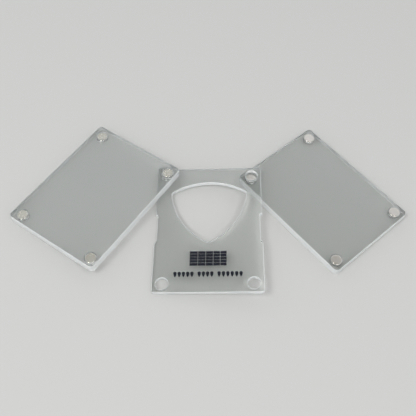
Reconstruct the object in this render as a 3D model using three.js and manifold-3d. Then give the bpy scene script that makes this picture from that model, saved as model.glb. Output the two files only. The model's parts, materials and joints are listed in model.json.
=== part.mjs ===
// Pick holder: a middle plate with a pick-shaped opening, kept between two clear covers by corner magnets.
// The three plates lie spread out. The middle plate leans on a corner of the bottom cover, and the top
// cover leans on a corner of the middle plate. Millimetres, +Z up, standing surface at z = 0.
import * as THREE from "three";
import { mergeVertices } from "three/addons/utils/BufferGeometryUtils.js";
import Module from "manifold-3d";

const wasm = await Module();
wasm.setup();

// ---- Driving dimensions: the three plates ----
const plateWidth = 48;
const plateLength = 64;
const coverThickness = 4;
const middleThickness = 2;
const coverCornerRadius = 2;
const middleCornerRadius = 1;
const edgeChamfer = 0.2;

// ---- Driving dimensions: magnets and what they sit in ----
const magnetDiameter = 5;
const magnetThickness = 2;
const magnetChamfer = 0.3;
const magnetInset = 4.3; // magnet axis to both plate edges
const magnetSideClearance = 0.25; // all round a magnet in its pocket
const adhesiveThickness = 0.15;
const adhesiveClearance = 0.1; // above and below the adhesive pad
const flushGap = 0.02; // magnet face below the inner face
const holeClearance = 0.25; // all round a magnet, for its window through the middle plate

// ---- Driving dimensions: the opening for the picks ----
const openingWidth = 34.6; // between the two upper corners
const openingDepth = 26.2; // upper corners down to the tip
const openingCornersUp = 18.4; // upper corners above the plate's centre
const topBulge = 5.6; // how far the upper side arches past its chord
const sideBulge = 4.1; // how far each flank arches past its chord
const openingCornerRadius = 1.6;

// ---- Driving dimensions: finger notches in both long edges ----
const notchLength = 15;
const notchDepth = 1;
const notchCentreDown = 0.5; // notch centre below the plate's centre

// ---- Driving dimensions: sunk marks on the middle plate, with dark ink on their floors ----
const markDepth = 0.5;
const inkThickness = 0.2;
const markSideClearance = 0.05;
const markFloorClearance = 0.05;
const panelWidth = 16.2;
const panelHeight = 7.2;
const panelRadius = 0.8;
const panelDown = 15.8; // panel centre below the plate's centre
const barHeight = 2.6;
const barRadius = 0.4;
const barLengths = [8.9, 7, 11];
const barGap = 1.5;
const barsDown = 23.5; // bar centres below the plate's centre

// ---- Driving dimensions: how the plates are spread out ----
const bottomTurn = 41.6; // degrees, bottom cover against the middle plate
const topTurn = -33.7; // degrees, top cover against the middle plate
const restGap = 0.15; // kept where one plate rests on another

const curveSteps = 10; // each arc is drawn with twice as many chords
const roundSteps = 48; // chords round a magnet

const degrees = Math.PI / 180;
const halfWidth = plateWidth / 2;
const halfLength = plateLength / 2;
const pocketRadius = magnetDiameter / 2 + magnetSideClearance;
const holeRadius = magnetDiameter / 2 + holeClearance;
const pocketDepth = flushGap + magnetThickness + adhesiveThickness + 2 * adhesiveClearance;

// ---- Materials ----
const acrylic = new THREE.MeshStandardMaterial({
  color: 0xb9c2bd,
  roughness: 0.06,
  metalness: 0,
  transparent: true,
  opacity: 0.35,
});
const nickel = new THREE.MeshStandardMaterial({ color: 0xbfb8ae, roughness: 0.28, metalness: 1 });
const adhesive = new THREE.MeshStandardMaterial({ color: 0x8a7350, roughness: 0.5, metalness: 0 });
const ink = new THREE.MeshStandardMaterial({ color: 0x14161c, roughness: 0.5, metalness: 0 });

// ---- Solids and meshes ----
function toSolid(geometry) {
  const bare = geometry.index ? geometry.toNonIndexed() : geometry.clone();
  bare.deleteAttribute("normal");
  bare.deleteAttribute("uv");
  const merged = mergeVertices(bare, 1e-4);
  return new wasm.Manifold(
    new wasm.Mesh({
      numProp: 3,
      vertProperties: merged.getAttribute("position").array,
      triVerts: new Uint32Array(merged.index.array),
    }),
  );
}

function toGeometry(solid) {
  const mesh = solid.getMesh();
  const geometry = new THREE.BufferGeometry();
  geometry.setAttribute("position", new THREE.BufferAttribute(mesh.vertProperties, 3));
  geometry.setIndex(new THREE.BufferAttribute(mesh.triVerts, 1));
  geometry.computeVertexNormals();
  return geometry;
}

function named(name, geometry, material) {
  const mesh = new THREE.Mesh(geometry, material);
  mesh.name = name;
  return mesh;
}

// ---- Outlines, drawn anticlockwise about the plate's centre ----

// A rectangle with rounded corners.
function roundedRectangle(width, height, radius) {
  const x = width / 2 - radius;
  const y = height / 2 - radius;
  const shape = new THREE.Shape();
  shape.absarc(x, -y, radius, -Math.PI / 2, 0);
  shape.absarc(x, y, radius, 0, Math.PI / 2);
  shape.absarc(-x, y, radius, Math.PI / 2, Math.PI);
  shape.absarc(-x, -y, radius, Math.PI, 1.5 * Math.PI);
  shape.closePath();
  return shape;
}

// The middle plate's outline: a rounded rectangle with a shallow, ramped notch in each long edge.
function middleOutline() {
  const radius = middleCornerRadius;
  const x = halfWidth - radius;
  const y = halfLength - radius;
  const low = -notchCentreDown - notchLength / 2;
  const high = -notchCentreDown + notchLength / 2;
  const shape = new THREE.Shape();
  shape.absarc(x, -y, radius, -Math.PI / 2, 0);
  shape.lineTo(halfWidth, low);
  shape.lineTo(halfWidth - notchDepth, low + notchDepth);
  shape.lineTo(halfWidth - notchDepth, high - notchDepth);
  shape.lineTo(halfWidth, high);
  shape.absarc(x, y, radius, 0, Math.PI / 2);
  shape.absarc(-x, y, radius, Math.PI / 2, Math.PI);
  shape.lineTo(-halfWidth, high);
  shape.lineTo(-halfWidth + notchDepth, high - notchDepth);
  shape.lineTo(-halfWidth + notchDepth, low + notchDepth);
  shape.lineTo(-halfWidth, low);
  shape.absarc(-x, -y, radius, Math.PI, 1.5 * Math.PI);
  shape.closePath();
  return shape;
}

// The circle of an arch from point a to point b that bulges to the right of the way from a to b.
function archCircle(a, b, bulge) {
  const chord = b.clone().sub(a);
  const half = chord.length() / 2;
  const radius = (half * half + bulge * bulge) / (2 * bulge);
  const outward = new THREE.Vector2(chord.y, -chord.x).normalize();
  const centre = a.clone().add(b).multiplyScalar(0.5).addScaledVector(outward, bulge - radius);
  return { centre, radius };
}

// The centre of the fillet that rolls inside both arches, next to their shared corner.
function filletCentre(first, second, corner, fillet) {
  const r1 = first.radius - fillet;
  const r2 = second.radius - fillet;
  const between = second.centre.clone().sub(first.centre);
  const distance = between.length();
  const along = (r1 * r1 - r2 * r2 + distance * distance) / (2 * distance);
  const across = Math.sqrt(r1 * r1 - along * along);
  const foot = first.centre.clone().addScaledVector(between.normalize(), along);
  const side = new THREE.Vector2(-between.y, between.x).multiplyScalar(across);
  const one = foot.clone().add(side);
  const other = foot.clone().sub(side);
  return one.distanceTo(corner) < other.distanceTo(corner) ? one : other;
}

// A pick-shaped triangle: three arches that meet in three filleted corners.
function pickOutline() {
  const right = new THREE.Vector2(openingWidth / 2, openingCornersUp);
  const left = new THREE.Vector2(-openingWidth / 2, openingCornersUp);
  const tip = new THREE.Vector2(0, openingCornersUp - openingDepth);
  const corners = [tip, right, left];
  const bulges = [sideBulge, topBulge, sideBulge];
  const arches = corners.map((corner, i) => archCircle(corner, corners[(i + 1) % 3], bulges[i]));
  const fillets = corners.map((corner, i) =>
    filletCentre(arches[(i + 2) % 3], arches[i], corner, openingCornerRadius),
  );
  const angle = (from, to) => Math.atan2(to.y - from.y, to.x - from.x);
  const path = new THREE.Path();
  corners.forEach((corner, i) => {
    const before = arches[(i + 2) % 3];
    const after = arches[i];
    const next = fillets[(i + 1) % 3];
    const filletStart = angle(before.centre, fillets[i]);
    const filletEnd = angle(after.centre, fillets[i]);
    path.absarc(fillets[i].x, fillets[i].y, openingCornerRadius, filletStart, filletEnd);
    path.absarc(after.centre.x, after.centre.y, after.radius, filletEnd, angle(after.centre, next));
  });
  path.closePath();
  return path;
}

// ---- Pieces ----

// A plate with chamfered edges, its underside at z = 0.
function plateGeometry(shape, thickness) {
  const geometry = new THREE.ExtrudeGeometry(shape, {
    depth: thickness - 2 * edgeChamfer,
    bevelEnabled: true,
    bevelThickness: edgeChamfer,
    bevelSize: edgeChamfer,
    bevelOffset: -edgeChamfer,
    bevelSegments: 1,
    curveSegments: curveSteps,
  });
  geometry.translate(0, 0, edgeChamfer);
  return geometry;
}

// The four corner places that magnets, pockets and holes share, each with its name.
const cornerPlaces = [
  ["upper_left", -1, 1],
  ["upper_right", 1, 1],
  ["lower_right", 1, -1],
  ["lower_left", -1, -1],
].map(([name, sx, sy]) => ({
  name,
  x: sx * (halfWidth - magnetInset),
  y: sy * (halfLength - magnetInset),
}));

// A cover, with its inner face up at z = coverThickness and four blind pockets in that face.
function coverSolid() {
  const shape = roundedRectangle(plateWidth, plateLength, coverCornerRadius);
  const overrun = 1; // lets the pocket cutter break cleanly through the face
  return cornerPlaces.reduce((solid, place) => {
    const cutter = new THREE.CylinderGeometry(
      pocketRadius,
      pocketRadius,
      pocketDepth + overrun,
      roundSteps,
    );
    cutter.rotateX(Math.PI / 2);
    const middle = coverThickness + (overrun - pocketDepth) / 2;
    cutter.translate(place.x, place.y, middle);
    return solid.subtract(toSolid(cutter));
  }, toSolid(plateGeometry(shape, coverThickness)));
}

// A disc magnet with chamfered rims, its lower face at z = 0.
function magnetGeometry() {
  const radius = magnetDiameter / 2;
  const profile = [
    [0, 0],
    [radius - magnetChamfer, 0],
    [radius, magnetChamfer],
    [radius, magnetThickness - magnetChamfer],
    [radius - magnetChamfer, magnetThickness],
    [0, magnetThickness],
  ].map(([r, z]) => new THREE.Vector2(r, z));
  return new THREE.LatheGeometry(profile, roundSteps).rotateX(Math.PI / 2);
}

// The adhesive that holds a magnet to the floor of its pocket, its lower face at z = 0.
function adhesiveGeometry() {
  const radius = magnetDiameter / 2 - magnetChamfer;
  const disc = new THREE.CylinderGeometry(radius, radius, adhesiveThickness, roundSteps);
  return disc.rotateX(Math.PI / 2).translate(0, 0, adhesiveThickness / 2);
}

// A cover with its magnets and adhesive pads, underside at z = 0. Its inner face looks up, or down when
// it is turned over. Each magnet is named after the corner where it is seen from above.
function buildCover(prefix, turnedOver) {
  const cover = new THREE.Group();
  cover.add(named(prefix + "_cover", toGeometry(coverSolid()), acrylic));
  const magnetBase = coverThickness - flushGap - magnetThickness;
  const adhesiveBase = magnetBase - adhesiveClearance - adhesiveThickness;
  for (const place of cornerPlaces) {
    const x = turnedOver ? -place.x : place.x;
    const magnet = named(prefix + "_magnet_" + place.name, magnetGeometry(), nickel);
    magnet.position.set(x, place.y, magnetBase);
    const pad = named(prefix + "_adhesive_" + place.name, adhesiveGeometry(), adhesive);
    pad.position.set(x, place.y, adhesiveBase);
    cover.add(magnet, pad);
  }
  if (turnedOver) {
    cover.rotation.y = Math.PI;
    cover.position.z = coverThickness;
  }
  return new THREE.Group().add(cover);
}

// The marks, each a sunk shape in the middle plate: one panel, and a row of bars below it.
function markPlaces() {
  const rowLength = barLengths.reduce((sum, length) => sum + length, 0) + 2 * barGap;
  const places = [
    { name: "panel", x: 0, y: -panelDown, width: panelWidth, height: panelHeight, radius: panelRadius },
  ];
  let start = -rowLength / 2;
  ["left", "centre", "right"].forEach((side, i) => {
    const x = start + barLengths[i] / 2;
    const width = barLengths[i];
    places.push({ name: "bar_" + side, x, y: -barsDown, width, height: barHeight, radius: barRadius });
    start += width + barGap;
  });
  return places;
}

// A mark's outline, less a clearance all round, drawn upwards from z = 0.
function markGeometry(mark, clearance, depth) {
  const shape = roundedRectangle(
    mark.width - 2 * clearance,
    mark.height - 2 * clearance,
    mark.radius - clearance,
  );
  const options = { depth, bevelEnabled: false, curveSegments: 4 };
  return new THREE.ExtrudeGeometry(shape, options).translate(mark.x, mark.y, 0);
}

// The middle plate with its inked marks, its underside at z = 0.
function buildMiddle() {
  const shape = middleOutline();
  shape.holes.push(pickOutline());
  for (const place of cornerPlaces) {
    shape.holes.push(new THREE.Path().absarc(place.x, place.y, holeRadius, 0, 2 * Math.PI));
  }
  const overrun = 1; // lets the mark cutter break cleanly through the face
  let plate = toSolid(plateGeometry(shape, middleThickness));
  const middle = new THREE.Group();
  for (const mark of markPlaces()) {
    const cutter = markGeometry(mark, 0, markDepth + overrun);
    cutter.translate(0, 0, middleThickness - markDepth);
    plate = plate.subtract(toSolid(cutter));
    const fill = markGeometry(mark, markSideClearance, inkThickness);
    fill.translate(0, 0, middleThickness - markDepth + markFloorClearance);
    middle.add(named("ink_" + mark.name, fill, ink));
  }
  middle.add(named("middle_plate", toGeometry(plate), acrylic));
  return middle;
}

// ---- Placing the plates ----

// The middle plate stands on its left edge and leans on the bottom cover's upper left corner, which
// reaches this far in from the shared magnet axis.
const bottomReach = magnetInset * (Math.cos(bottomTurn * degrees) + Math.sin(bottomTurn * degrees));
const middleRun = plateWidth - magnetInset - bottomReach;
const middleLean = Math.asin((coverThickness + restGap) / middleRun);

// The top cover stands on its left edge, and its upper right corner lies on the sloping middle plate.
const topSwing = Math.abs(topTurn) * degrees;
const topReach = magnetInset * (Math.cos(topSwing) + Math.sin(topSwing));
const topLift = (magnetInset + topReach) * Math.tan(middleLean) + middleThickness / Math.cos(middleLean);
const topLean = Math.asin((topLift + restGap) / plateWidth);

// Leans a piece about its lower left edge by an angle, turns it about Z, and puts the point of its
// midplane that the corner place names over a given spot.
function layDown(piece, thickness, place, lean, turn, spot) {
  const inner = new THREE.Group();
  inner.add(piece);
  piece.position.set(halfWidth, 0, 0);
  inner.rotation.y = -lean;
  const anchor = new THREE.Vector3(place.x + halfWidth, place.y, thickness / 2);
  anchor.applyAxisAngle(new THREE.Vector3(0, 1, 0), -lean);
  anchor.applyAxisAngle(new THREE.Vector3(0, 0, 1), turn);
  const outer = new THREE.Group();
  outer.add(inner);
  outer.rotation.z = turn;
  outer.position.set(spot.x - anchor.x, spot.y - anchor.y, 0);
  return outer;
}

const [upperLeft, upperRight] = cornerPlaces;
const holder = new THREE.Group();

const middleHoles = [upperLeft, upperRight].map((place) => ({
  x: (place.x + halfWidth) * Math.cos(middleLean) - (middleThickness / 2) * Math.sin(middleLean) - halfWidth,
  y: place.y,
}));
holder.add(
  layDown(buildMiddle(), middleThickness, upperLeft, middleLean, 0, middleHoles[0]),
  layDown(buildCover("bottom", false), coverThickness, upperLeft, 0, bottomTurn * degrees, middleHoles[1]),
  layDown(buildCover("top", true), coverThickness, upperRight, topLean, topTurn * degrees, middleHoles[0]),
);

// The origin is on the standing surface, under the middle of the whole layout.
holder.updateMatrixWorld(true);
const box = new THREE.Box3().setFromObject(holder, true);
holder.position.set(-(box.min.x + box.max.x) / 2, -(box.min.y + box.max.y) / 2, -box.min.z);

export default holder;
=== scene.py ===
import json
import math

import bpy
import numpy as np
from bpy.props import FloatProperty, FloatVectorProperty, IntProperty, PointerProperty
from mathutils import Matrix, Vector
from mathutils.geometry import delaunay_2d_cdt


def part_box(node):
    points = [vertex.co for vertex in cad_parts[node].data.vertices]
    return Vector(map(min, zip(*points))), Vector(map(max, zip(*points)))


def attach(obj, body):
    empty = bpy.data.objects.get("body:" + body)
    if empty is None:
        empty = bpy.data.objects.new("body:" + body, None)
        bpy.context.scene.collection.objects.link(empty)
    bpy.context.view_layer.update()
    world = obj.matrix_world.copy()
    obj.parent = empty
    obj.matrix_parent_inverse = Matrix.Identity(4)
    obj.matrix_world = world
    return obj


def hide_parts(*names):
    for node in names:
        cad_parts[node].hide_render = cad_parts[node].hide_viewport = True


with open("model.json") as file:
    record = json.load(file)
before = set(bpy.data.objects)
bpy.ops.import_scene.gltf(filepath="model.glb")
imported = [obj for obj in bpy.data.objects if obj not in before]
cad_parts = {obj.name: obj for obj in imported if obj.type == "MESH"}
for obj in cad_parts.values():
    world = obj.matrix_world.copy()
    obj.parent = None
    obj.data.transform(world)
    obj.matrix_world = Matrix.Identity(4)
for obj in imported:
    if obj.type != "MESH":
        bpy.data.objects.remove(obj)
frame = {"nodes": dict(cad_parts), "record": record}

bl_info = {
    "name": "Pick Holder",
    "version": (1, 0, 0),
    "blender": (4, 5, 0),
    "location": "3D View > Sidebar > Pick Holder",
    "description": "Clear acrylic plates, disc magnets, glue and inked marks round the packed pick holder",
    "category": "Add Mesh",
}

# ---- The frame: bodies, corners and the plates' own axes ----

BODY_OF = {
    node: body
    for body, members in frame["record"]["behaviour"]["bodies"].items()
    for node in members
}
CORNERS = ("upper_left", "upper_right", "lower_right", "lower_left")
ALONG = 0.999  # cosine past which two directions count as one


def triangle_normals(mesh):
    """Each triangle's area vector: half the cross product of two of its sides."""
    mesh.calc_loop_triangles()
    points = np.empty(len(mesh.vertices) * 3)
    mesh.vertices.foreach_get("co", points)
    corners = np.empty(len(mesh.loop_triangles) * 3, np.int32)
    mesh.loop_triangles.foreach_get("vertices", corners)
    points = points.reshape(-1, 3)
    a, b, c = points[corners.reshape(-1, 3)].transpose(1, 0, 2)
    return points, np.cross(b - a, c - a) / 2


def mean_direction(vectors, guess):
    """The unit sum of the area vectors that lie along a guess, those the other way turned round, and the
    sum's length."""
    facing = vectors @ guess / np.linalg.norm(vectors, axis=1)
    chosen = np.abs(facing) > ALONG
    total = (vectors[chosen] * np.sign(facing[chosen])[:, None]).sum(0)
    area = np.linalg.norm(total)
    return total / area, area


def plate_frame(node):
    """A plate's own axes, middle and size. Its z is the way its broad faces look, upwards. Its x is the way
    its long edges look, to the right, and its y is z cross x. Returns a 4x4 matrix and the three sizes."""
    points, vectors = triangle_normals(frame["nodes"][node].data)
    size = np.linalg.norm(vectors, axis=1)
    vectors, size = vectors[size > 0], size[size > 0]
    z, _ = mean_direction(vectors, vectors[size.argmax()] / size.max())
    z = z * np.sign(z[2])
    sides = np.where(np.abs(vectors @ z) < (1 - ALONG) * size, size, 0)
    guess = vectors[sides.argmax()] / sides.max()
    one, one_area = mean_direction(vectors, guess)
    other, other_area = mean_direction(vectors, np.cross(z, guess))
    x = one if one_area > other_area else other
    x = x * np.sign(x[0])
    axes = np.stack([x, np.cross(z, x), z])
    own = points @ axes.T
    middle = (own.min(0) + own.max(0)) / 2 @ axes
    matrix = np.eye(4)
    matrix[:3, :3], matrix[:3, 3] = axes.T, middle
    return matrix, own.max(0) - own.min(0)


def node_middle(node):
    """The middle of a node's box, which for a disc is the middle of the disc."""
    low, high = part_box(node)
    return np.array((low + high) / 2)


def turned_over(matrix):
    """The same axes after half a turn about y."""
    return matrix @ np.diag([-1.0, 1.0, -1.0, 1.0])


def cover_frame(side):
    """A cover's axes with z towards its inner face, the one that its magnets lie next to, its size, and the
    magnets' places on those axes."""
    matrix, size = plate_frame(side + "_cover")
    magnets = np.stack([node_middle(f"{side}_magnet_{corner}") for corner in CORNERS])
    if (magnets.mean(0) - matrix[:3, 3]) @ matrix[:3, 2] < 0:
        matrix = turned_over(matrix)
    return matrix, size, (magnets - matrix[:3, 3]) @ matrix[:3, :3]


MIDDLE_MATRIX, MIDDLE_SIZE = plate_frame("middle_plate")
COVERS = {side: cover_frame(side) for side in ("bottom", "top")}
FLAT_MAGNET = np.ptp(np.array(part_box("bottom_magnet_upper_left")), axis=0)
FLAT_GLUE = np.ptp(np.array(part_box("bottom_adhesive_upper_left")), axis=0)
PANEL_BOX = np.array(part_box("ink_panel"))
BAR_BOXES = {side: np.array(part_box("ink_bar_" + side)) for side in ("left", "centre", "right")}


# ---- Settings ----


def offset(name, description, default, lowest=-10.0):
    """A distance in metres, which may be negative."""
    return FloatProperty(
        name=name, description=description, default=default, min=lowest, unit="LENGTH", precision=5
    )


def length(name, description, default):
    """A length in metres."""
    return offset(name, description, default, 0.0)


def tilt(name, description, degrees):
    """An angle, given in degrees."""
    return FloatProperty(
        name=name, description=description, default=math.radians(degrees), subtype="ANGLE"
    )


def share(name, description, default, largest=1.0):
    """A plain number from nought to a limit."""
    return FloatProperty(name=name, description=description, default=default, min=0.0, max=largest)


def colour(name, description, default):
    """A colour, as linear red, green and blue."""
    return FloatVectorProperty(
        name=name, description=description, default=default, subtype="COLOR", min=0.0, max=1.0
    )


class PickHolderPlates(bpy.types.PropertyGroup):
    edge_round: length("Edge round", "Radius rolled onto the rims of the plates", 0.0002)
    cover_corner: length("Cover corner", "Radius of a cover's four corners", 0.002)
    middle_corner: length("Middle corner", "Radius of the middle plate's four corners", 0.001)
    pocket_gap: length("Pocket gap", "Room all round a magnet in its pocket", 0.00025)
    pocket_depth: length("Pocket depth", "Depth of a magnet's pocket", 0.00237)
    hole_gap: length("Hole gap", "Room all round a magnet, for its window in the middle plate", 0.00025)
    opening_width: length("Opening width", "Between the opening's two upper corners", 0.0346)
    opening_depth: length("Opening depth", "From the upper corners down to the tip", 0.0262)
    opening_up: length("Opening height", "Upper corners above the plate's middle", 0.0184)
    top_bulge: length("Top bulge", "How far the upper side arches past its chord", 0.0056)
    side_bulge: length("Side bulge", "How far each flank arches past its chord", 0.0041)
    opening_corner: length("Opening corner", "Radius of the opening's three corners", 0.0016)
    notch_length: length("Notch length", "Length of the finger notches", 0.015)
    notch_depth: length("Notch depth", "Depth of the finger notches", 0.001)
    notch_down: length("Notch drop", "Notch middle below the plate's middle", 0.0005)
    notch_corner: length("Notch corner", "Radius at the ends of a notch", 0.0005)
    step: length("Outline step", "Longest step along a straight edge", 0.0006)


class PickHolderMarks(bpy.types.PropertyGroup):
    depth: length("Mark depth", "How deep the marks are sunk", 0.0005)
    rib: length("Rib", "Clear ribs between the cells of the fretboard", 0.00011)
    cell_corner: length("Cell corner", "Radius of a cell's corners", 0.00012)
    strings: IntProperty(name="Spaces", description="Rows of cells between the strings", default=5, min=1)
    frets: IntProperty(name="Frets", description="Columns of cells between the frets", default=5, min=1)
    fret_ratio: share("Fret ratio", "Each column's width over the one before it", 0.943874)
    pick_pitch: length("Pick pitch", "Between neighbouring little picks", 0.00182)
    pick_width: length("Pick width", "Width of a little pick", 0.00152)
    pick_height: length("Pick height", "Height of a little pick", 0.0026)
    gap: length("Ink gap", "Between the ink and the walls of its mark", 0.00004)


class PickHolderMagnets(bpy.types.PropertyGroup):
    rim: length("Rim", "Radius of a magnet's rims", 0.00032)
    steps: IntProperty(name="Steps", description="Steps round a magnet", default=96, min=12)
    glue_wobble: share("Glue wobble", "How uneven the glue's outline is", 0.035)


class PickHolderFinish(bpy.types.PropertyGroup):
    acrylic_face: colour("Acrylic face", "What the polished faces let through", (0.97, 0.988, 0.977))
    acrylic_edge: colour("Acrylic edge", "Colour of the whitened edges", (0.93, 0.945, 0.94))
    acrylic_ior: FloatProperty(name="Acrylic index", description="Refractive index", default=1.49, min=1.0)
    face_roughness: share("Face roughness", "Roughness of the polished faces", 0.012)
    edge_roughness: share("Edge roughness", "Roughness of the cut edges", 0.18)
    edge_frost: share("Edge frost", "How far the cut edges are whitened instead of clear", 0.6)
    bore_frost: share("Bore frost", "How far the walls of pockets and marks are whitened", 0.12)
    nickel: colour("Nickel", "Colour of the magnets' plating", (0.80, 0.765, 0.72))
    glue: colour("Glue", "Colour of the glue", (0.97, 0.955, 0.925))
    ink: colour("Ink", "Colour of the marks", (0.006, 0.007, 0.012))


class PickHolderStage(bpy.types.PropertyGroup):
    floor: colour("Floor", "Colour of the floor", (0.54, 0.54, 0.525))
    floor_side: length("Floor side", "Side of the square floor", 12.0)
    floor_gap: length("Floor gap", "Between the floor and what stands on it", 0.00005)
    sky: colour("Sky", "Colour of the light from all round", (0.88, 0.90, 0.93))
    sky_strength: share("Sky strength", "Strength of the light from all round", 0.95, 10.0)
    ceiling: colour("Ceiling", "Colour of the light from overhead", (0.25, 0.24, 0.21))
    wall_top: share("Wall top", "Sine of the height where the walls end", 0.77)
    ceiling_start: share("Ceiling start", "Sine of the height where the ceiling begins", 0.90)
    azimuth: tilt("Azimuth", "Camera's turn round the object, from its front", -4.369)
    elevation: tilt("Elevation", "Camera's height above the floor, as an angle", 57.302)
    roll: tilt("Roll", "Camera's turn about its own line of sight", 6.064)
    distance: length("Distance", "Camera to the point that it looks at", 0.30239)
    target_x: offset("Target X", "Where the camera looks on the floor, to the right", -0.00166)
    target_y: offset("Target Y", "Where the camera looks on the floor, to the back", -0.00069)
    lens: FloatProperty(name="Lens", description="Focal length in millimetres", default=56.6, min=1.0)


# ---- Outlines: closed rows of (x, y) points, anticlockwise unless a function says otherwise ----

ARC_STEPS = 12  # steps on a rolled corner
ARCH_STEPS = 72  # steps on a side of the opening
HOLE_STEPS = 96  # steps round a pocket or a corner hole
SHORTEST = 1e-9  # metres; a shorter side of an outline is left out


def unit(vectors):
    """The same directions at length one."""
    return vectors / np.linalg.norm(vectors, axis=-1, keepdims=True)


def left_of(vectors):
    """Each vector turned a quarter turn to the left."""
    return np.stack([-vectors[..., 1], vectors[..., 0]], -1)


def rolled_polygon(corners, radii):
    """A polygon with each corner rolled off. The arc's centre is the radius to the inside of the incoming
    edge, and its points are the first radius turned by even shares of the corner's turn."""
    corners = np.asarray(corners, float)
    radii = np.broadcast_to(np.asarray(radii, float), len(corners))[:, None]
    incoming = unit(corners - np.roll(corners, 1, 0))
    outgoing = np.roll(incoming, -1, 0)
    cross = incoming[:, 0] * outgoing[:, 1] - incoming[:, 1] * outgoing[:, 0]
    turn = np.arctan2(cross, (incoming * outgoing).sum(1))[:, None]
    inside = left_of(incoming) * np.sign(turn)
    centre = corners - incoming * radii * np.tan(np.abs(turn) / 2) + inside * radii
    angle = turn * np.linspace(0, 1, ARC_STEPS + 1)
    first = -inside * radii
    ahead = first[:, None] * np.cos(angle)[..., None]
    aside = left_of(first)[:, None] * np.sin(angle)[..., None]
    return (centre[:, None] + ahead + aside).reshape(-1, 2)


def even_run(outline, step):
    """The same outline with its long straights cut into equal parts no longer than a step."""
    side = np.roll(outline, -1, 0) - outline
    span = np.linalg.norm(side, axis=1)
    kept = span > SHORTEST
    outline, side, span = outline[kept], side[kept], span[kept]
    parts = np.maximum(1, np.ceil(span / step)).astype(int)
    within = np.arange(parts.sum()) - np.repeat(np.cumsum(parts) - parts, parts)
    return np.repeat(outline, parts, 0) + np.repeat(side / parts[:, None], parts, 0) * within[:, None]


def rectangle(width, height, radius, centre=(0.0, 0.0)):
    """A rectangle with rolled corners."""
    x, y = width / 2, height / 2
    return rolled_polygon([(x, -y), (x, y), (-x, y), (-x, -y)], radius) + np.asarray(centre)


def circle(radius, centre):
    """Points at even angles round a centre."""
    angle = np.arange(HOLE_STEPS) * 2 * math.pi / HOLE_STEPS
    return np.stack([np.cos(angle), np.sin(angle)], 1) * radius + centre


def arch_circles(corners, bulges):
    """The circle through each corner and the next that bulges outwards by its bulge: its radius is
    (half chord squared plus bulge squared) over twice the bulge."""
    chord = np.roll(corners, -1, 0) - corners
    half = np.linalg.norm(chord, axis=1) / 2
    radius = (half**2 + bulges**2) / (2 * bulges)
    return corners + chord / 2 - left_of(unit(chord)) * (bulges - radius)[:, None], radius


def pick_outline(width, depth, up, top_bulge, side_bulge, fillet, steps=ARCH_STEPS):
    """A rounded triangle, its tip down. Three arches bulge past its three sides, and a fillet circle that
    touches two arches from inside rounds each corner: its centre lies where the two arches' circles, made
    smaller by the fillet, cross."""
    corners = np.array([(0, up - depth), (width / 2, up), (-width / 2, up)])
    centre, radius = arch_circles(corners, np.array([side_bulge, top_bulge, side_bulge]))
    before, inner = np.roll(centre, 1, 0), radius - fillet
    between = centre - before
    gap = np.linalg.norm(between, axis=1)
    along = (np.roll(inner, 1) ** 2 - inner**2 + gap**2) / (2 * gap)
    across = np.sqrt(np.roll(inner, 1) ** 2 - along**2)
    foot = before + unit(between) * along[:, None]
    ways = foot + left_of(unit(between)) * across[:, None] * np.array([1, -1])[:, None, None]
    nearest = np.linalg.norm(ways - corners, axis=2).argmin(0)
    rolls = ways[nearest, np.arange(3)]

    def heading(start, end):
        return np.arctan2(end[:, 1] - start[:, 1], end[:, 0] - start[:, 0])

    roll_start, roll_end = heading(before, rolls), heading(centre, rolls)
    arch_end = heading(centre, np.roll(rolls, -1, 0))
    starts = np.stack([roll_start, roll_end], 1).ravel()
    ends = np.stack([roll_end, arch_end], 1).ravel()
    sweep = np.mod(ends - starts, 2 * math.pi)
    centres = np.stack([rolls, centre], 1).reshape(-1, 2)
    radii = np.stack([np.full(3, fillet), radius], 1).ravel()
    angle = starts[:, None] + sweep[:, None] * np.arange(steps) / steps
    rim = np.stack([np.cos(angle), np.sin(angle)], 2) * radii[:, None, None]
    return (centres[:, None] + rim).reshape(-1, 2)


def middle_outline(sizes):
    """The middle plate: a rolled rectangle with a shallow ramped notch in each long edge."""
    x, y = MIDDLE_SIZE[:2] / 2
    deep, run = sizes.notch_depth, sizes.notch_length / 2
    low, high = -sizes.notch_down - run, -sizes.notch_down + run
    right = [(x, -y), (x, low), (x - deep, low + deep), (x - deep, high - deep), (x, high), (x, y)]
    left = [(-px, py) for px, py in reversed(right)]
    notch = [sizes.notch_corner] * 4
    corner = [sizes.middle_corner]
    radii = corner + notch + corner
    return even_run(rolled_polygon(right + left, radii + radii), sizes.step)


# ---- Surfaces, collected as whole arrays ----

MILLIMETRE = 0.001
SAME_POINT = 1e-7  # millimetres; points of a flat face that are nearer would be merged
POLISHED, CUT, BORED = 0, 1, 2  # the kinds of a plate's faces


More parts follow.
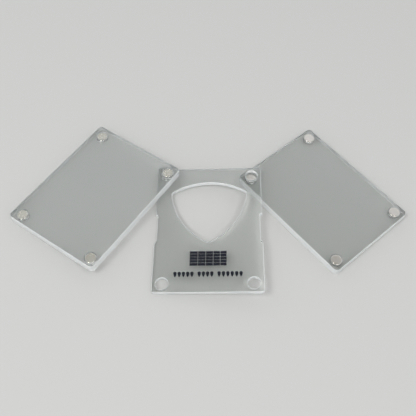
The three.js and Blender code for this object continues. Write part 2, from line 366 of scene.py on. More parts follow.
class Shell:
    """The surfaces of one closed piece: points, faces, pattern coordinates, which faces are flat, and which
    of the piece's materials each face has."""

    def __init__(self):
        self.points, self.faces, self.pattern, self.flat, self.kind = [], [], [], [], []
        self.count = 0

    def add_points(self, points):
        """Stores a grid of points and gives the grid of their numbers."""
        grid = np.arange(points[..., 0].size).reshape(points.shape[:-1]) + self.count
        self.points.append(points.reshape(-1, 3))
        self.count += grid.size
        return grid

    def add_faces(self, faces, pattern, flat, kind=POLISHED):
        """Stores faces with a pattern coordinate for each corner."""
        self.faces.append(faces)
        self.pattern.append(pattern.reshape(-1, 2))
        self.flat.append(np.full(len(faces), flat))
        self.kind.append(np.full(len(faces), kind))

    def wall(self, outline, profile, kind=POLISHED):
        """Carries a profile of (inset, height) along a closed outline that has the piece on its left. Point
        i, j is outline point i, moved left along its mitre by row j's inset, at row j's height. The pattern
        coordinates are the run along the outline and the run along the profile."""
        ahead = np.roll(outline, -1, 0) - outline
        normal = left_of(unit(ahead))
        behind = np.roll(normal, 1, 0)
        mitre = (normal + behind) / (1 + (normal * behind).sum(1))[:, None]
        flat = outline[:, None] + mitre[:, None] * profile[None, :, :1]
        height = np.broadcast_to(profile[None, :, 1:], flat.shape[:2] + (1,))
        grid = self.add_points(np.concatenate([flat, height], 2))
        after = np.roll(grid, -1, 0)
        quads = np.stack([grid[:, :-1], after[:, :-1], after[:, 1:], grid[:, 1:]], 2)
        run = np.concatenate([[0], np.cumsum(np.linalg.norm(ahead, axis=1))])
        rise = np.concatenate([[0], np.cumsum(np.linalg.norm(np.diff(profile, axis=0), axis=1))])
        u = np.stack([run[:-1], run[1:], run[1:], run[:-1]], 1)[:, None]
        v = np.stack([rise[:-1], rise[:-1], rise[1:], rise[1:]], 1)[None]
        self.add_faces(quads.reshape(-1, 4), np.stack(np.broadcast_arrays(u, v), -1), False, kind)
        return grid

    def cap(self, rings, upwards):
        """Fills the flat area inside the rings. A constrained triangulation joins their points, and a
        triangle stays where a ray from its middle crosses the rings an odd number of times."""
        numbers = np.concatenate(rings)
        points = np.concatenate(self.points)[numbers]
        flat = points[:, :2] / MILLIMETRE
        starts = np.cumsum([0] + [len(ring) for ring in rings[:-1]])
        edges = np.concatenate(
            [
                np.stack([np.arange(len(ring)), np.roll(np.arange(len(ring)), -1)], 1) + start
                for ring, start in zip(rings, starts)
            ]
        )
        made, _, triangles, *_ = delaunay_2d_cdt(flat.tolist(), edges.tolist(), [], 0, SAME_POINT)
        if len(made) != len(flat):
            raise RuntimeError("a flat face's outlines touch or cross")
        triangles = np.array(triangles)
        middle = flat[triangles].mean(1)
        a, b = flat[edges[:, 0]], flat[edges[:, 1]]
        spans = (a[:, 1] > middle[:, 1:]) != (b[:, 1] > middle[:, 1:])
        rise = np.where(a[:, 1] == b[:, 1], 1.0, b[:, 1] - a[:, 1])
        crossing = a[:, 0] + (middle[:, 1:] - a[:, 1]) * (b[:, 0] - a[:, 0]) / rise
        inside = (spans & (middle[:, :1] < crossing)).sum(1) % 2 == 1
        triangles = triangles[inside]
        p, q, r = flat[triangles].transpose(1, 0, 2)
        clockwise = (q - p)[:, 0] * (r - p)[:, 1] < (q - p)[:, 1] * (r - p)[:, 0]
        turn = clockwise if upwards else ~clockwise
        triangles[turn] = triangles[turn][:, ::-1]
        self.add_faces(numbers[triangles], points[triangles][..., :2], True)

    def turned(self, profile, steps, swell=np.zeros_like):
        """Spins a profile of (radius, height) about z, from a bottom pole to a top pole. Point i, j is at
        angle i, with row j's radius times one plus the swell at that angle. The poles are single points."""
        angle = np.arange(steps) * 2 * math.pi / steps
        radius = profile[None, 1:-1, 0] * (1 + swell(angle)[:, None])
        height = np.broadcast_to(profile[None, 1:-1, 1], radius.shape)
        ring = np.stack([radius * np.cos(angle)[:, None], radius * np.sin(angle)[:, None], height], 2)
        grid = self.add_points(ring)
        bottom, top = self.add_points(np.array([(0, 0, profile[0, 1]), (0, 0, profile[-1, 1])]))
        after = np.roll(grid, -1, 0)
        rise = np.concatenate([[0], np.cumsum(np.linalg.norm(np.diff(profile, axis=0), axis=1))])
        share_round = np.arange(steps + 1) / steps
        u = np.stack([share_round[:-1], share_round[1:], share_round[1:], share_round[:-1]], 1)[:, None]
        v = np.stack([rise[1:-2], rise[1:-2], rise[2:-1], rise[2:-1]], 1)[None]
        quads = np.stack([grid[:, :-1], after[:, :-1], after[:, 1:], grid[:, 1:]], 2)
        self.add_faces(quads.reshape(-1, 4), np.stack(np.broadcast_arrays(u, v), -1), False)
        for pole, near, far, level, end in (
            (bottom, after[:, 0], grid[:, 0], rise[1], 0.0),
            (top, grid[:, -1], after[:, -1], rise[-2], rise[-1]),
        ):
            fan = np.stack([np.full(steps, pole), near, far], 1)
            pattern = np.stack([share_round[:-1], share_round[:-1], share_round[1:]], 1)
            levels = np.broadcast_to([end, level, level], pattern.shape)
            self.add_faces(fan, np.stack([pattern, levels], -1), False)

    def shifted(self, place):
        """Moves all points so far to a place."""
        self.points = [np.concatenate(self.points) + place]

    def moved(self, matrix):
        """Puts all points so far in place by a matrix."""
        self.points = [np.concatenate(self.points) @ matrix[:3, :3].T + matrix[:3, 3]]


ROUND_ROWS = 5  # rows on a rolled rim
SIDE_ROWS = 5  # rows on the straight side between two rims, its ends among them


def rim_profile(low, high, radius, rows=ROUND_ROWS, bottom=True):
    """A wall from one height to another as (inset, height) rows. Its top is rolled by a quarter circle, and
    so is its bottom unless it's left sharp."""
    angle = np.linspace(0, math.pi / 2, rows)
    foot = np.stack([radius * (1 - np.sin(angle)), low + radius * (1 - np.cos(angle))], 1)
    head = np.stack([radius * (1 - np.cos(angle)), high - radius * (1 - np.sin(angle))], 1)
    foot = foot if bottom else np.array([(0.0, low)])
    side = np.linspace(foot[-1], head[0], SIDE_ROWS)[1:-1]
    return np.concatenate([foot, side, head])


def disc_profile(radius, half, rim, face_rows, rim_rows):
    """A disc's section as (radius, height) rows, from the bottom pole to the top pole: a flat face, then a
    quarter circle with the rim's radius, and the same mirrored. Where the rim is half the disc's thickness,
    the two quarter circles share their middle row."""
    angle = np.linspace(0, math.pi / 2, rim_rows)
    corner = np.stack([radius - rim + rim * np.sin(angle), half - rim + rim * np.cos(angle)], 1)
    inward = np.linspace(0, radius - rim, face_rows)[:-1]
    upper = np.concatenate([np.stack([inward, np.full(face_rows - 1, half)], 1), corner])
    first = 0 if rim < half else 1
    return np.concatenate([upper * (1, -1), upper[::-1][first:]])


def finish_piece(name, shell, materials, node):
    """Makes the mesh of a shell, gives it its materials, and hands it to the frame: it takes the place of a
    CAD node and rides on that node's body."""
    mesh = bpy.data.meshes.new(name)
    faces = [face for block in shell.faces for face in block.tolist()]
    mesh.from_pydata(np.concatenate(shell.points).tolist(), [], faces)
    mesh.polygons.foreach_set("use_smooth", ~np.concatenate(shell.flat))
    pattern = mesh.uv_layers.new(name="Pattern")
    pattern.uv.foreach_set("vector", np.concatenate(shell.pattern).astype(np.float32).ravel())
    for material in materials:
        mesh.materials.append(material)
    mesh.polygons.foreach_set("material_index", np.concatenate(shell.kind).astype(np.int32))
    if mesh.validate():
        raise RuntimeError(name + " has a broken mesh")
    mesh.update()
    piece = bpy.data.objects.new(name, mesh)
    bpy.context.scene.collection.objects.link(piece)
    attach(piece, BODY_OF[node])
    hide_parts(node)


# ---- Materials ----

# A scale is about how many features of a noise there are in a metre. A stretch is that for each axis. A
# height is the relief's, in metres. A detail is the number of finer noises that are laid over the first.

SMEAR_SCALE, SMEAR_DETAIL = 95, 4.0
SMEAR_SPREAD = (0.4, 2.0)  # clean and smeared faces' roughness, over the setting
WAVE_SCALE, WAVE_DETAIL, WAVE_HEIGHT = 160, 2.0, 0.0000014

STREAK_STRETCH, STREAK_DETAIL, STREAK_HEIGHT = (5200, 260, 1), 2.0, 0.0000015  # along the edge, across it
STREAK_SPREAD = (0.6, 1.4)  # smooth and rough streaks' roughness, over the setting
PATCH_SCALE, PATCH_DETAIL = 300, 3.0
PATCH_SHADE = 0.96  # of the edges' colour, in their duller patches

RING_STRETCH, RING_DETAIL = (2, 16000, 1), 3.0  # for one turn round the disc, and for a metre outwards
SCUFF_STRETCH, SCUFF_DETAIL, SCUFF_TURN = (6000, 1500, 1500), 2.0, 0.6  # the turn in radians
SCUFF_ROUGHNESS = (0.12, 0.26)
MOTTLE_SCALE, MOTTLE_DETAIL = 900, 4.0
MOTTLE_ROUGHNESS = (0.13, 0.25)
MOTTLE_SHADE = 0.93  # of the nickel's colour, in its duller patches
NICKEL_HEIGHT = 0.0000009

BUBBLE_SCALE = 1700
BUBBLE_RIM = (0.1, 0.3)  # from a bubble's middle to its rim, over the bubbles' spacing
RIPPLE_SCALE, RIPPLE_DETAIL = 1100, 2.0
RIPPLE_ROUGHNESS = (0.05, 0.3)
GLUE_HEIGHT = 0.000007
GLUE_IOR = 1.45

GRAIN_SCALE, GRAIN_DETAIL, GRAIN_HEIGHT = 5200, 3.0, 0.000012
GRAIN_ROUGHNESS = (0.38, 0.62)
CLOUD_SCALE, CLOUD_DETAIL = 700, 3.0
CLOUD_SHADE = 1.9  # of the ink's colour, in its lighter patches
INK_SPECULAR = 0.1

NOISE_MIDDLE = (0.3, 0.7)  # the part of a noise's range that its values fill
NODE_STEP = (-240, -260)  # between nodes in the editor, across and down
NODE_ROWS = 4


def new_material(name):
    """A node material that holds only a Principled shader."""
    material = bpy.data.materials.get(name) or bpy.data.materials.new(name)
    material.use_nodes = True
    tree = material.node_tree
    tree.nodes.clear()
    output = tree.nodes.new("ShaderNodeOutputMaterial")
    shader = tree.nodes.new("ShaderNodeBsdfPrincipled")
    tree.links.new(shader.outputs["BSDF"], output.inputs["Surface"])
    return material, tree, shader


def place_nodes(tree):
    """Lays the nodes out in short columns, in the order in which they were made."""
    for i, node in enumerate(tree.nodes):
        node.location = (NODE_STEP[0] * (i // NODE_ROWS), NODE_STEP[1] * (i % NODE_ROWS))


def pattern_noise(tree, source, detail, scale=1.0, stretch=(1, 1, 1), turn=0.0):
    """Noise on a set of coordinates, stretched and turned by a Mapping node."""
    mapping = tree.nodes.new("ShaderNodeMapping")
    mapping.inputs["Scale"].default_value = stretch
    mapping.inputs["Rotation"].default_value = (0, 0, turn)
    noise = tree.nodes.new("ShaderNodeTexNoise")
    noise.inputs["Scale"].default_value = scale
    noise.inputs["Detail"].default_value = detail
    tree.links.new(source, mapping.inputs["Vector"])
    tree.links.new(mapping.outputs["Vector"], noise.inputs["Vector"])
    return noise.outputs["Fac"]


def remapped(tree, source, low, high, start=NOISE_MIDDLE[0], end=NOISE_MIDDLE[1]):
    """A value carried from one range, by default a noise's, to another."""
    node = tree.nodes.new("ShaderNodeMapRange")
    node.inputs["From Min"].default_value = start
    node.inputs["From Max"].default_value = end
    node.inputs["To Min"].default_value = low
    node.inputs["To Max"].default_value = high
    tree.links.new(source, node.inputs["Value"])
    return node.outputs["Result"]


def halfway(tree, a, b):
    """The mean of two numbers. The Mix node's number sockets are its inputs 2 and 3, counted from 0."""
    node = tree.nodes.new("ShaderNodeMix")
    node.inputs[0].default_value = 0.5
    tree.links.new(a, node.inputs[2])
    tree.links.new(b, node.inputs[3])
    return node.outputs[0]


def mixed_colour(tree, factor, a, b):
    """A colour between two others. The Mix node's colour sockets are its inputs 6 and 7 and its output 2."""
    node = tree.nodes.new("ShaderNodeMix")
    node.data_type = "RGBA"
    node.inputs[6].default_value = (*a, 1)
    node.inputs[7].default_value = (*b, 1)
    tree.links.new(factor, node.inputs[0])
    return node.outputs[2]


def clouded(tree, shader, noise, one, other):
    """Lets a shader's base colour drift between two colours with a noise."""
    drift = remapped(tree, noise, 0.0, 1.0)
    tree.links.new(mixed_colour(tree, drift, one, other), shader.inputs["Base Color"])


def roughened(tree, shader, source):
    """Gives a shader its roughness from a value."""
    tree.links.new(source, shader.inputs["Roughness"])


def bumped(tree, shader, relief, height):
    """Tilts a shader's normal by a relief this many metres high."""
    node = tree.nodes.new("ShaderNodeBump")
    node.inputs["Distance"].default_value = height
    tree.links.new(relief, node.inputs["Height"])
    tree.links.new(node.outputs["Normal"], shader.inputs["Normal"])


def coordinates(tree):
    """The Object and UV coordinates."""
    node = tree.nodes.new("ShaderNodeTexCoord")
    return node.outputs["Object"], node.outputs["UV"]


def polished_material(finish):
    """Clear acrylic's polished faces, faintly green, with smears and a slight wave."""
    material, tree, shader = new_material("polished_acrylic")
    place, _ = coordinates(tree)
    smears = pattern_noise(tree, place, SMEAR_DETAIL, SMEAR_SCALE)
    clean, smeared = finish.face_roughness * np.array(SMEAR_SPREAD)
    roughened(tree, shader, remapped(tree, smears, clean, smeared))
    bumped(tree, shader, pattern_noise(tree, place, WAVE_DETAIL, WAVE_SCALE), WAVE_HEIGHT)
    shader.inputs["Base Color"].default_value = (*finish.acrylic_face, 1)
    shader.inputs["Transmission Weight"].default_value = 1.0
    shader.inputs["IOR"].default_value = finish.acrylic_ior
    place_nodes(tree)
    return material


def cut_material(name, finish, frost):
    """Clear acrylic's cut edges, whitened by fine upright streaks and by lighter and duller patches."""
    material, tree, shader = new_material(name)
    place, pattern = coordinates(tree)
    streaks = pattern_noise(tree, pattern, STREAK_DETAIL, stretch=STREAK_STRETCH)
    smooth, rough = finish.edge_roughness * np.array(STREAK_SPREAD)
    roughened(tree, shader, remapped(tree, streaks, smooth, rough))
    bumped(tree, shader, streaks, STREAK_HEIGHT)
    white = np.array(finish.acrylic_edge)
    patches = pattern_noise(tree, place, PATCH_DETAIL, PATCH_SCALE)
    clouded(tree, shader, patches, white * PATCH_SHADE, white)
    shader.inputs["Transmission Weight"].default_value = 1.0 - frost
    shader.inputs["IOR"].default_value = finish.acrylic_ior
    place_nodes(tree)
    return material


def acrylic_materials(finish):
    """The materials of a plate, in the order of a shell's face kinds: polished, cut, and bored."""
    return (
        polished_material(finish),
        cut_material("cut_acrylic", finish, finish.edge_frost),
        cut_material("bored_acrylic", finish, finish.bore_frost),
    )


def nickel_material(finish):
    """Nickel plating: rings from turning, hairline scuffs, and a mottle that dulls it in patches."""
    material, tree, shader = new_material("nickel_plating")
    place, pattern = coordinates(tree)
    rings = pattern_noise(tree, pattern, RING_DETAIL, stretch=RING_STRETCH)
    scuffs = pattern_noise(tree, place, SCUFF_DETAIL, stretch=SCUFF_STRETCH, turn=SCUFF_TURN)
    mottle = pattern_noise(tree, place, MOTTLE_DETAIL, MOTTLE_SCALE)
    dulled = remapped(tree, mottle, *MOTTLE_ROUGHNESS)
    scuffed = remapped(tree, scuffs, *SCUFF_ROUGHNESS)
    roughened(tree, shader, halfway(tree, dulled, scuffed))
    bright = np.array(finish.nickel)
    clouded(tree, shader, mottle, bright * MOTTLE_SHADE, bright)
    bumped(tree, shader, halfway(tree, rings, scuffs), NICKEL_HEIGHT)
    shader.inputs["Metallic"].default_value = 1.0
    place_nodes(tree)
    return material


def glue_material(finish):
    """Set clear glue, faintly yellow, with small bubbles and a rippled skin."""
    material, tree, shader = new_material("set_glue")
    place, _ = coordinates(tree)
    bubbles = tree.nodes.new("ShaderNodeTexVoronoi")
    bubbles.inputs["Scale"].default_value = BUBBLE_SCALE
    tree.links.new(place, bubbles.inputs["Vector"])
    ripple = pattern_noise(tree, place, RIPPLE_DETAIL, RIPPLE_SCALE)
    roughened(tree, shader, remapped(tree, ripple, *RIPPLE_ROUGHNESS))
    hollows = remapped(tree, bubbles.outputs["Distance"], 0.0, 1.0, *BUBBLE_RIM)
    bumped(tree, shader, halfway(tree, ripple, hollows), GLUE_HEIGHT)
    shader.inputs["Base Color"].default_value = (*finish.glue, 1)
    shader.inputs["Transmission Weight"].default_value = 1.0
    shader.inputs["IOR"].default_value = GLUE_IOR
    place_nodes(tree)
    return material


def ink_material(finish):
    """Matt near-black paint, a little uneven in shade, with a fine grain."""
    material, tree, shader = new_material("sunk_ink")
    place, _ = coordinates(tree)
    grain = pattern_noise(tree, place, GRAIN_DETAIL, GRAIN_SCALE)
    roughened(tree, shader, remapped(tree, grain, *GRAIN_ROUGHNESS))
    bumped(tree, shader, grain, GRAIN_HEIGHT)
    dark = np.array(finish.ink)
    clouded(tree, shader, pattern_noise(tree, place, CLOUD_DETAIL, CLOUD_SCALE), dark, dark * CLOUD_SHADE)
    shader.inputs["Specular IOR Level"].default_value = INK_SPECULAR
    place_nodes(tree)
    return material


# ---- Operators: one for each piece or group of like pieces ----

POCKET_ROUND = 1 / 2  # a pocket's rolled mouth, over the plates' rims
MARK_ROUND = 1 / 8  # a mark's rolled mouth, over the plates' rims
INK_ROUND = 1 / 10  # the ink's rolled rim, over its thickness
MARK_ROWS = 3  # rows on a mark's mouth and on the ink's rim
LITTLE_STEPS = 10  # steps on each side and each corner of a little pick
LITTLE_CORNER = 3  # a little pick's corners, over the opening's made as small
MAGNET_ROWS = (8, 7)  # on a magnet's face, and on its rim
GLUE_ROWS = (6, 6)  # the same on a drop of glue
GLUE_WAVES = ((2, 1.0, 1), (3, 0.6, 2), (7, 0.4, 3))  # waves round a drop, their height, and their shift


class PICKHOLDER_OT_covers(bpy.types.Operator):
    """Make both clear covers, each with four magnet pockets in its inner face"""

    bl_idname = "pickholder.covers"
    bl_label = "Covers"

    def execute(self, context):
        sizes = context.scene.pick_holder_plates
        materials = acrylic_materials(context.scene.pick_holder_finish)
        for side, (matrix, size, magnets) in COVERS.items():
            half = size[2] / 2
            shell = Shell()
            outline = even_run(rectangle(size[0], size[1], sizes.cover_corner), sizes.step)
            outer = shell.wall(outline, rim_profile(-half, half, sizes.edge_round), CUT)
            rings = [outer[:, -1]]
            for x, y in magnets[:, :2]:
                bore = circle(FLAT_MAGNET[0] / 2 + sizes.pocket_gap, (x, y))[::-1]
                mouth = sizes.edge_round * POCKET_ROUND
                profile = rim_profile(half - sizes.pocket_depth, half, mouth, bottom=False)
                pocket = shell.wall(bore, profile, BORED)
                shell.cap([pocket[:, 0]], True)
                rings.append(pocket[:, -1])
            shell.cap(rings, True)
            shell.cap([outer[:, 0]], False)
            shell.moved(matrix)
            node = side + "_cover"
            finish_piece("clear_" + node, shell, materials, node)
        return {"FINISHED"}


def middle_place(box):
    """The middle of a mark's box in the middle plate's own x and y, and the mark's width and height. The
    plate leans sideways, so the box's width is the mark's width times the lean's cosine plus the mark's
    thickness times its sine."""
    own = (box.mean(0) - MIDDLE_MATRIX[:3, 3]) @ MIDDLE_MATRIX[:3, :3]
    wide, high, rise = np.ptp(box, axis=0)
    cosine, sine = MIDDLE_MATRIX[0, 0], MIDDLE_MATRIX[2, 0]
    thick = (rise - wide * sine / cosine) * cosine
    return own[:2], np.array([(wide - thick * abs(sine)) / cosine, high])


def middle_thickness(node):
    """How thick a node is across the middle plate."""
    points, _ = triangle_normals(frame["nodes"][node].data)
    return np.ptp(points @ MIDDLE_MATRIX[:3, 2])


def fretboard_cells(marks):
    """The cells of a small fretboard: rows of equal height between the strings, and columns that narrow by
    the same ratio from fret to fret, with ribs between them. Returns one outline for each cell."""
    centre, size = middle_place(PANEL_BOX)
    widths = marks.fret_ratio ** np.arange(marks.frets)
    widths = widths / widths.sum() * (size[0] - marks.rib * (marks.frets - 1))
    lefts = centre[0] - size[0] / 2 + np.concatenate([[0], np.cumsum(widths + marks.rib)[:-1]])
    height = (size[1] - marks.rib * (marks.strings - 1)) / marks.strings
    lows = centre[1] - size[1] / 2 + (height + marks.rib) * np.arange(marks.strings)
    return [
        rectangle(width, height, marks.cell_corner, (left + width / 2, low + height / 2))
        for left, width in zip(lefts, widths)
        for low in lows
    ]


def little_picks(marks, sizes, side):
    """A row of little picks that fills a bar's length, each the opening's shape made small."""
    centre, size = middle_place(BAR_BOXES[side])
    number = int(size[0] / marks.pick_pitch + 0.5)
    pitch = (size[0] - marks.pick_width) / (number - 1)
    wide = marks.pick_width / sizes.opening_width
    tall = marks.pick_height / (sizes.opening_depth + sizes.top_bulge)
    pick = pick_outline(
        sizes.opening_width,
        sizes.opening_depth,
        (sizes.opening_depth - sizes.top_bulge) / 2,
        sizes.top_bulge,
        sizes.side_bulge,
        sizes.opening_corner * LITTLE_CORNER,
        LITTLE_STEPS,
    )
    starts = centre[0] + pitch * (np.arange(number) - (number - 1) / 2)
    return [pick * (wide, tall) + (x, centre[1]) for x in starts]


def all_marks(marks, sizes):
    """Every mark's outlines, under the name of the CAD node whose place they take."""
    rows = {"ink_bar_" + side: little_picks(marks, sizes, side) for side in BAR_BOXES}
    return {"ink_panel": fretboard_cells(marks), **rows}


class PICKHOLDER_OT_middle_plate(bpy.types.Operator):
    """Make the clear middle plate with its pick-shaped opening, corner holes, notches and sunk marks"""

    bl_idname = "pickholder.middle_plate"
    bl_label = "Middle plate"

    def execute(self, context):
        sizes, marks = context.scene.pick_holder_plates, context.scene.pick_holder_marks
        half = MIDDLE_SIZE[2] / 2
        shell = Shell()
        through = rim_profile(-half, half, sizes.edge_round)
        opening = pick_outline(
            sizes.opening_width,
            sizes.opening_depth,
            sizes.opening_up,
            sizes.top_bulge,
            sizes.side_bulge,
            sizes.opening_corner,
        )
        magnets = COVERS["bottom"][2]
        window = FLAT_MAGNET[0] / 2 + sizes.hole_gap
        outlines = [middle_outline(sizes), opening[::-1]]
        outlines += [circle(window, (x, y))[::-1] for x, y in magnets[:, :2]]
        walls = [shell.wall(outline, through, CUT) for outline in outlines]
        tops = [grid[:, -1] for grid in walls]
        mouth = sizes.edge_round * MARK_ROUND
        sunk = rim_profile(half - marks.depth, half, mouth, MARK_ROWS, bottom=False)
        for outline in [mark for group in all_marks(marks, sizes).values() for mark in group]:
            well = shell.wall(outline[::-1], sunk, BORED)
            shell.cap([well[:, 0]], True)
            tops.append(well[:, -1])
        shell.cap(tops, True)
        shell.cap([grid[:, 0] for grid in walls], False)
        shell.moved(MIDDLE_MATRIX)
        materials = acrylic_materials(context.scene.pick_holder_finish)
        finish_piece("clear_middle_plate", shell, materials, "middle_plate")
        return {"FINISHED"}


class PICKHOLDER_OT_ink(bpy.types.Operator):
    """Make the thin layers of dark ink on the floors of the sunk marks"""

    bl_idname = "pickholder.ink"
    bl_label = "Ink in the marks"

    def execute(self, context):
        sizes, marks = context.scene.pick_holder_plates, context.scene.pick_holder_marks
        material = ink_material(context.scene.pick_holder_finish)
        floor = MIDDLE_SIZE[2] / 2 - marks.depth + marks.gap
        thick = middle_thickness("ink_panel")
        profile = rim_profile(floor, floor + thick, thick * INK_ROUND, MARK_ROWS, bottom=False)
        profile[:, 0] += marks.gap
        for node, outlines in all_marks(marks, sizes).items():
            shell = Shell()
            for outline in outlines:
                layer = shell.wall(outline, profile)
                shell.cap([layer[:, -1]], True)
                shell.cap([layer[:, 0]], False)
            shell.moved(MIDDLE_MATRIX)
            finish_piece(node + "_fill", shell, [material], node)
        return {"FINISHED"}


class PICKHOLDER_OT_magnets(bpy.types.Operator):
    """Make the eight disc magnets, turned discs with rolled rims"""

    bl_idname = "pickholder.magnets"
    bl_label = "Magnets"

    def execute(self, context):
        settings = context.scene.pick_holder_magnets
        material = nickel_material(context.scene.pick_holder_finish)
        radius, half = FLAT_MAGNET[0] / 2, FLAT_MAGNET[2] / 2
        profile = disc_profile(radius, half, settings.rim, *MAGNET_ROWS)
        for side, (matrix, _, places) in COVERS.items():
            for name, place in zip(CORNERS, places):
                shell = Shell()
                shell.turned(profile, settings.steps)
                shell.shifted(place)
                shell.moved(matrix)
                node = f"{side}_magnet_{name}"
                finish_piece("plated_" + node, shell, [material], node)
        return {"FINISHED"}


def uneven(amount, phase):
    """Gives a function for how far a drop of glue shrinks at an angle: a sum of sine waves, less the sum of
    their heights and divided by it, times the amount."""
    number, height, shift = np.array(GLUE_WAVES).T

    def swell(angle):
        waves = height * np.sin(number * angle[:, None] + shift * phase)
        return amount * (waves.sum(1) - height.sum()) / height.sum()

    return swell


class PICKHOLDER_OT_glue(bpy.types.Operator):
    """Make the thin drop of set glue between each magnet and the floor of its pocket"""

    bl_idname = "pickholder.glue"
    bl_label = "Glue"

    def execute(self, context):
        settings = context.scene.pick_holder_magnets
        material = glue_material(context.scene.pick_holder_finish)
        radius, half = FLAT_GLUE[0] / 2, FLAT_GLUE[2] / 2
        profile = disc_profile(radius, half, half, *GLUE_ROWS)
        for side, (matrix, _, _) in COVERS.items():
            for number, name in enumerate(CORNERS):
                node = f"{side}_adhesive_{name}"
                place = (node_middle(node) - matrix[:3, 3]) @ matrix[:3, :3]
                shell = Shell()
                swell = uneven(settings.glue_wobble, number + len(side))
                shell.turned(profile, settings.steps // 2, swell)
                shell.shifted(place)
                shell.moved(matrix)
                finish_piece(f"glue_{side}_{name}", shell, [material], node)
        return {"FINISHED"}


# ---- The stage: floor, light and camera ----


def studio_sky(stage):
    """Soft light from all round: bright up to the height of the walls, and dimmer overhead."""
    world = bpy.data.worlds.new("studio")
    world.use_nodes = True
    tree = world.node_tree
    direction = tree.nodes.new("ShaderNodeTexCoord")
    height = tree.nodes.new("ShaderNodeSeparateXYZ")
    tree.links.new(direction.outputs["Generated"], height.inputs["Vector"])
    overhead = remapped(tree, height.outputs["Z"], 0.0, 1.0, stage.wall_top, stage.ceiling_start)
    shade = mixed_colour(tree, overhead, stage.sky, stage.ceiling)
    sky = tree.nodes["Background"]
    tree.links.new(shade, sky.inputs["Color"])
    sky.inputs["Strength"].default_value = stage.sky_strength
    return world


LAMPS = (  # name, place, width of the disc, and power in watts
    ("lamp_left", (-0.60, -0.45, 1.10), 0.5, 6.5),
    ("lamp_right", (0.35, -0.50, 1.15), 0.4, 4.0),
)
FLOOR_ROUGHNESS = 0.9
FLOOR_SPECULAR = 0.1
SENSOR_WIDTH = 36.0  # millimetres
CLIP_START, CLIP_END = 0.01, 20.0  # metres
CLEAR_BOUNCES = 32  # through the many faces of plates that lie on each other
GLOSSY_BOUNCES = 16


def soft_lamp(name, place, width, power):
    """A round flat lamp at a place, facing the object's middle."""
    data = bpy.data.lights.new(name, "AREA")
    data.shape = "DISK"
    data.size, data.energy = width, power
    lamp = bpy.data.objects.new(name, data)
    back = unit(np.array(place))
    across = unit(np.cross((0, 0, 1), back))
    turn = np.eye(4)
    turn[:3, :3] = np.stack([across, np.cross(back, across), back], 1)
    turn[:3, 3] = place
    lamp.matrix_world = Matrix(turn.tolist())
    bpy.context.scene.collection.objects.link(lamp)


def pale_floor(stage):
    """A square floor just under the object, matt and even."""
    half = stage.floor_side / 2
    mesh = bpy.data.meshes.new("floor")
    corners = [(-half, -half), (half, -half), (half, half), (-half, half)]
    mesh.from_pydata([(x, y, -stage.floor_gap) for x, y in corners], [], [(0, 1, 2, 3)])
    floor = bpy.data.objects.new("floor", mesh)
    bpy.context.scene.collection.objects.link(floor)
    material, _, shader = new_material("pale_floor")
    shader.inputs["Base Color"].default_value = (*stage.floor, 1)
    shader.inputs["Roughness"].default_value = FLOOR_ROUGHNESS
    shader.inputs["Specular IOR Level"].default_value = FLOOR_SPECULAR
    mesh.materials.append(material)


def stage_camera(stage):
    """A camera that looks at its target on the floor from the azimuth, the elevation and the distance. The
    roll turns its right and up about its line of sight."""
    a, e, r = stage.azimuth, stage.elevation, stage.roll
    back = np.array([math.sin(a) * math.cos(e), -math.cos(a) * math.cos(e), math.sin(e)])
    right = np.array([math.cos(a), math.sin(a), 0])
    up = np.cross(back, right)
    rolled = (math.cos(r) * right + math.sin(r) * up, math.cos(r) * up - math.sin(r) * right, back)
    place = np.eye(4)
    place[:3, :3] = np.stack(rolled, 1)
    place[:3, 3] = np.array([stage.target_x, stage.target_y, 0]) + back * stage.distance
    data = bpy.data.cameras.new("camera")
    data.lens = stage.lens
    data.sensor_width = SENSOR_WIDTH
    data.clip_start, data.clip_end = CLIP_START, CLIP_END
    camera = bpy.data.objects.new("camera", data)
    bpy.context.scene.collection.objects.link(camera)
    camera.matrix_world = Matrix(place.tolist())
    return camera


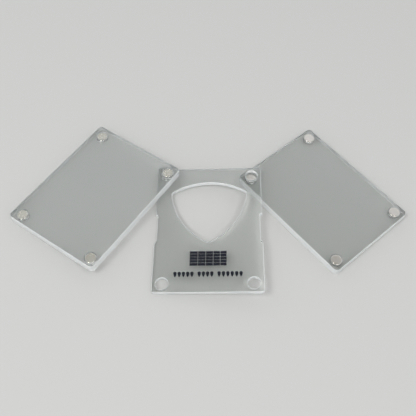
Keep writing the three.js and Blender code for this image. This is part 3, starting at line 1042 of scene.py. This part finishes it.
class PICKHOLDER_OT_stage(bpy.types.Operator):
    """Make the pale floor, the soft studio light and the camera"""

    bl_idname = "pickholder.stage"
    bl_label = "Stage"

    def execute(self, context):
        stage, scene = context.scene.pick_holder_stage, context.scene
        pale_floor(stage)
        scene.world = studio_sky(stage)
        for lamp in LAMPS:
            soft_lamp(*lamp)
        scene.camera = stage_camera(stage)
        scene.view_settings.view_transform = "Standard"
        scene.cycles.max_bounces = CLEAR_BOUNCES
        scene.cycles.transmission_bounces = CLEAR_BOUNCES
        scene.cycles.glossy_bounces = GLOSSY_BOUNCES
        return {"FINISHED"}


class PICKHOLDER_PT_panel(bpy.types.Panel):
    bl_label = "Pick Holder"
    bl_idname = "PICKHOLDER_PT_panel"
    bl_space_type = "VIEW_3D"
    bl_region_type = "UI"
    bl_category = "Pick Holder"

    def draw(self, context):
        for operator in OPERATORS:
            self.layout.operator(operator.bl_idname)


OPERATORS = (
    PICKHOLDER_OT_stage,
    PICKHOLDER_OT_covers,
    PICKHOLDER_OT_middle_plate,
    PICKHOLDER_OT_ink,
    PICKHOLDER_OT_magnets,
    PICKHOLDER_OT_glue,
)
SETTINGS = {
    "pick_holder_plates": PickHolderPlates,
    "pick_holder_marks": PickHolderMarks,
    "pick_holder_magnets": PickHolderMagnets,
    "pick_holder_finish": PickHolderFinish,
    "pick_holder_stage": PickHolderStage,
}
CLASSES = (*SETTINGS.values(), *OPERATORS, PICKHOLDER_PT_panel)


def register():
    """Makes the settings, the operators and the panel known to Blender."""
    for each in CLASSES:
        bpy.utils.register_class(each)
    for name, group in SETTINGS.items():
        setattr(bpy.types.Scene, name, PointerProperty(type=group))


def unregister():
    """Takes them away again."""
    for name in SETTINGS:
        delattr(bpy.types.Scene, name)
    for each in reversed(CLASSES):
        bpy.utils.unregister_class(each)


def main():
    """Makes every piece in order."""
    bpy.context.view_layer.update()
    register()
    bpy.ops.pickholder.stage()
    bpy.ops.pickholder.covers()
    bpy.ops.pickholder.middle_plate()
    bpy.ops.pickholder.ink()
    bpy.ops.pickholder.magnets()
    bpy.ops.pickholder.glue()


if __name__ == "__main__":
    main()
